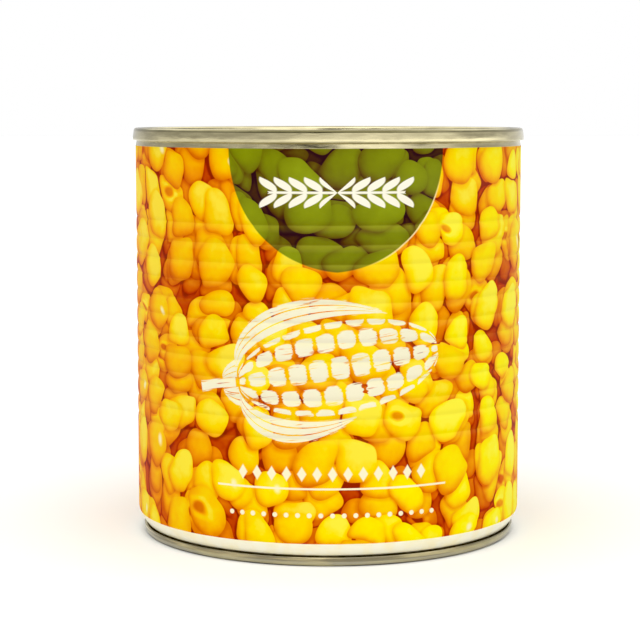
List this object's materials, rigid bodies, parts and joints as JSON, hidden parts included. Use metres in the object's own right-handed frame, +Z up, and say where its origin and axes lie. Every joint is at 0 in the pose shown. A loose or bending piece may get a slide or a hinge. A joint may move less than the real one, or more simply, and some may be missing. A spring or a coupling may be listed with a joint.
{
  "type": "can of sweet corn",
  "caption": "Closed cylindrical tinplate food can with a double seam at each end, a printed and beaded wall and a necked-in foot.",
  "frame": {"origin": "middle of the ring that the can stands on, at the lowest point of the bottom seam", "axes": "+Z up along the can's axis, -Y towards the front of the print"},
  "size_m": [0.0848, 0.0848, 0.0878],
  "materials": {
    "printed_tinplate": "tinplate with yellow and orange litho print under a clear gloss varnish",
    "tinplate": "bare bright tinplate with a thin warm lacquer"
  },
  "bodies": {
    "root": {"can_body": "printed_tinplate", "top_end": "tinplate", "bottom_end": "tinplate"}
  },
  "joints": []
}
